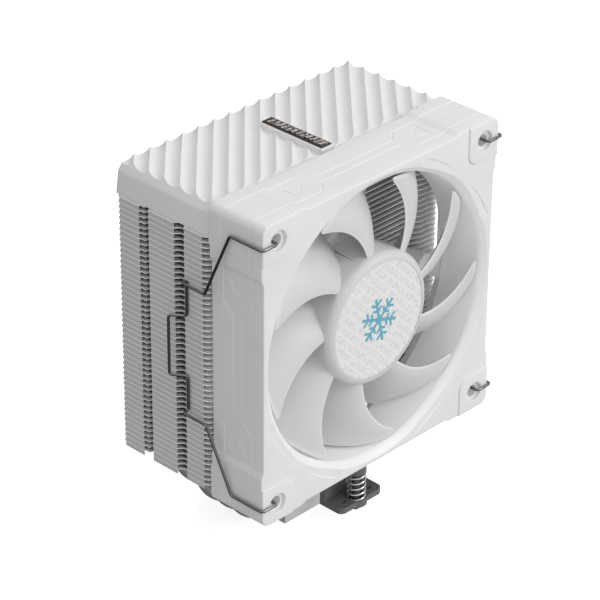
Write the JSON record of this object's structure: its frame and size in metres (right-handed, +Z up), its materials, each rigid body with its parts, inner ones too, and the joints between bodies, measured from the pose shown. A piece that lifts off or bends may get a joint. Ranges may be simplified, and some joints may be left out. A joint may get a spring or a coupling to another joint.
{
  "type": "cpu tower cooler",
  "caption": "Tower cooler with a stack of thin fins on bent heat pipes, a fluted top cover and a large fan clipped to the front of the fins.",
  "frame": {"origin": "centre of the base's flat contact face", "axes": "+Z up along the pipes, away from the chip; the fan is on the -Y side and blows along +Y; +X to the right, seen from the fan"},
  "size_m": [0.1298, 0.0905, 0.151],
  "materials": {
    "fin_aluminium": "white-coated satin",
    "cover": "white satin",
    "name_plate": "dark polished",
    "pipe": "nickel-plated, satin",
    "base": "nickel-plated, polished",
    "bracket": "black satin",
    "screw": "bright zinc",
    "spring": "polished steel",
    "frame_plastic": "white satin, fine grain",
    "rotor_plastic": "pale grey-white satin",
    "pad": "white matt",
    "sticker": "pale printed film",
    "rotor_steel": "satin",
    "magnet": "dark bonded ferrite",
    "shaft_steel": "ground",
    "bearing": "sintered bronze",
    "stator": "laminated",
    "coil": "enamelled copper",
    "board": "green solder mask",
    "grommet": "black",
    "wire": "polished steel wire"
  },
  "bodies": {
    "cooler": {"base_plate": "base", "base_cap": "base", "fin_stack": "fin_aluminium", "top_cover": "cover", "name_plate": "name_plate", "crossbar": "bracket", "crossbar_screws": "screw", "fan_frame": "frame_plastic", "bearing_sleeve": "bearing", "stator_core": "stator", "stator_coils": "coil", "motor_board": "board", "rear_label": "sticker", "lead_grommet": "grommet", "heat_pipe_1": "pipe", "heat_pipe_2": "pipe", "heat_pipe_3": "pipe", "heat_pipe_4": "pipe", "heat_pipe_5": "pipe", "spring_front": "spring", "spring_rear": "spring", "corner_pad_top_right": "pad", "corner_pad_top_left": "pad", "corner_pad_bottom_left": "pad", "corner_pad_bottom_right": "pad"},
    "rotor": {"fan_rotor": "rotor_plastic", "hub_sticker": "sticker", "rotor_yoke": "rotor_steel", "rotor_magnet": "magnet", "rotor_shaft": "shaft_steel", "shaft_clip": "shaft_steel"},
    "clip_left": {"wire_clip_left": "wire"},
    "clip_right": {"wire_clip_right": "wire"},
    "washer_front": {"screw_washer_front": "bracket"},
    "screw_front": {"spring_screw_front": "bracket", "retaining_ring_front": "screw"},
    "washer_rear": {"screw_washer_rear": "bracket"},
    "screw_rear": {"spring_screw_rear": "bracket", "retaining_ring_rear": "screw"}
  },
  "joints": [
    {"name": "rotor_spin", "type": "hinge", "parent": "cooler", "child": "rotor", "pos_m": [0, -0.0355, 0.091], "axis": [0, 1, 0], "continuous": true},
    {"name": "clip_left_swing", "type": "hinge", "parent": "cooler", "child": "clip_left", "pos_m": [-0.0536, -0.046, 0.091], "axis": [0, 0, 1], "range_deg": [0, 30]},
    {"name": "clip_right_swing", "type": "hinge", "parent": "cooler", "child": "clip_right", "pos_m": [0.0536, -0.046, 0.091], "axis": [0, 0, -1], "range_deg": [0, 30]},
    {"name": "spring_front_press", "type": "slide", "parent": "cooler", "child": "washer_front", "axis": [0, 0, -1], "range_m": [0, 0.004], "stiffness_N_per_m": 4000, "deforming": ["spring_front"]},
    {"name": "screw_front_turn", "type": "hinge", "parent": "washer_front", "child": "screw_front", "pos_m": [0, -0.037, 0.027], "axis": [0, 0, 1], "continuous": true},
    {"name": "spring_rear_press", "type": "slide", "parent": "cooler", "child": "washer_rear", "axis": [0, 0, -1], "range_m": [0, 0.004], "stiffness_N_per_m": 4000, "deforming": ["spring_rear"]},
    {"name": "screw_rear_turn", "type": "hinge", "parent": "washer_rear", "child": "screw_rear", "pos_m": [0, 0.037, 0.027], "axis": [0, 0, 1], "continuous": true}
  ]
}
